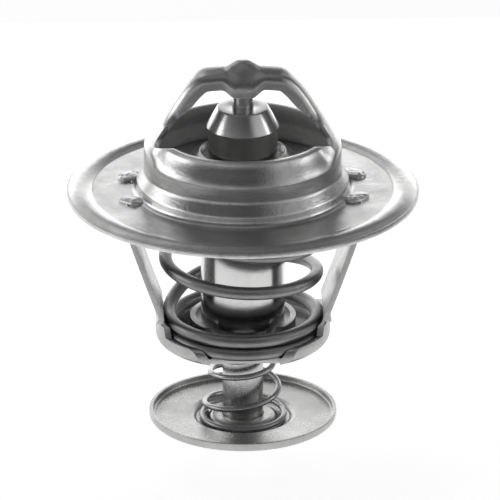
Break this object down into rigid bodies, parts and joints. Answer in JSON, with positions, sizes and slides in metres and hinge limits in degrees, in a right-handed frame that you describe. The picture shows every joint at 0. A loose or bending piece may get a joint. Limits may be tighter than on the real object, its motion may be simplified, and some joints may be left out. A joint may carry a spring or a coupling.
{
  "type": "engine coolant thermostat",
  "caption": "Engine coolant thermostat with a pressed flange and bridge, a sprung main valve on a wax element and a sprung bypass disc on a stem.",
  "frame": {"origin": "on the axis at the underside of the mounting flange", "axes": "+Z along the axis towards the bridge, X along the bridge and the two legs of the lower frame"},
  "size_m": [0.054, 0.054, 0.0597],
  "materials": {
    "housing_sheet": "satin",
    "frame_sheet": "satin",
    "spring_wire": "satin",
    "plate_sheet": "satin",
    "turned_bright": "polished",
    "piston_steel": "polished",
    "washer_white": "matte",
    "boot_rubber": "matte",
    "wax": "matte",
    "cup_metal": "satin",
    "stem_metal": "satin",
    "disc_sheet": "satin",
    "bypass_wire": "satin"
  },
  "bodies": {
    "housing": {"flange_housing": "housing_sheet", "lower_frame": "frame_sheet", "piston": "piston_steel", "main_spring": "spring_wire"},
    "element": {"valve_plate": "plate_sheet", "valve_collar": "turned_bright", "guide": "turned_bright", "backup_washer": "washer_white", "rubber_boot": "boot_rubber", "wax_charge": "wax", "wax_cup": "cup_metal", "bypass_stem": "stem_metal", "stem_ring": "turned_bright", "bypass_spring": "bypass_wire"},
    "bypass": {"bypass_disc": "disc_sheet"}
  },
  "joints": [
    {"name": "main_valve_slide", "type": "slide", "parent": "housing", "child": "element", "axis": [0, 0, -1], "range_m": [0, 0.008], "stiffness_N_per_m": 6000, "springref_m": -0.008, "deforming": ["main_spring"]},
    {"name": "bypass_slide", "type": "slide", "parent": "element", "child": "bypass", "axis": [0, 0, 1], "range_m": [0, 0.005], "stiffness_N_per_m": 1200, "springref_m": -0.004, "deforming": ["bypass_spring"]}
  ]
}
